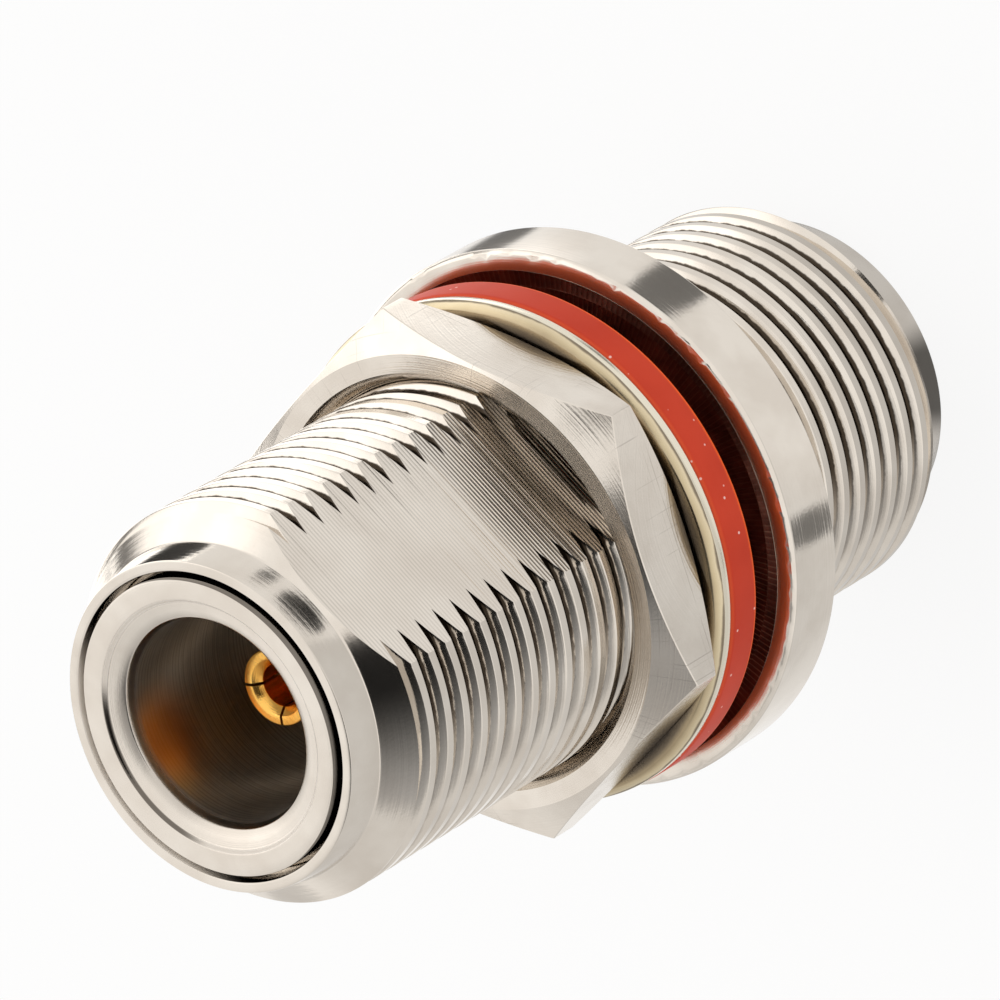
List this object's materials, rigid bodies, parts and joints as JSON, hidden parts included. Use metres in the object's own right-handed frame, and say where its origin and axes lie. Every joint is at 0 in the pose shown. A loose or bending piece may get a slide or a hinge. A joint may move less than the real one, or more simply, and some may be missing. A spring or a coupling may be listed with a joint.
{
  "type": "n type connector",
  "caption": "Nickel-plated coaxial panel adapter with a threaded socket at each end, a flange, a red seal, a washer and a thin hexagon nut.",
  "frame": {"origin": "centre of the far end face, on the connector's axis, where the part stands", "axes": "+Z along the connector's axis from the far end towards the near end that holds the nut; the flat milled on the near barrel faces -Y"},
  "size_m": [0.022, 0.022, 0.038],
  "materials": {
    "nickel_shell": "bright nickel plate over brass, turned and milled marks showing",
    "nickel_sleeve": "bright nickel plate with fine turning lines in the bore",
    "nickel_nut": "nickel plate with light brushed scratches",
    "washer_plate": "bright plate with a warm yellow cast",
    "gold_contact": "gold plate",
    "red_silicone": "soft satin silicone",
    "white_bead": "plain white"
  },
  "bodies": {
    "connector": {"shell": "nickel_shell", "insert_sleeve": "nickel_sleeve", "insulating_bead": "white_bead", "near_contact": "gold_contact", "far_contact": "gold_contact", "gasket": "red_silicone"},
    "washer_ring": {"washer": "washer_plate"},
    "nut": {"hex_nut": "nickel_nut"}
  },
  "joints": [
    {"name": "washer_lift", "type": "slide", "parent": "connector", "child": "washer_ring", "axis": [0, 0, 1], "range_m": [0, 0.0106]},
    {"name": "nut_turn", "type": "hinge", "parent": "washer_ring", "child": "nut", "pos_m": [0, 0, 0.02138], "axis": [0, 0, 1], "range_deg": [0, 3600]}
  ],
  "couplings": [
    {"joint": "washer_lift", "follows": "nut_turn", "m_per_rad": 0.00016844}
  ]
}
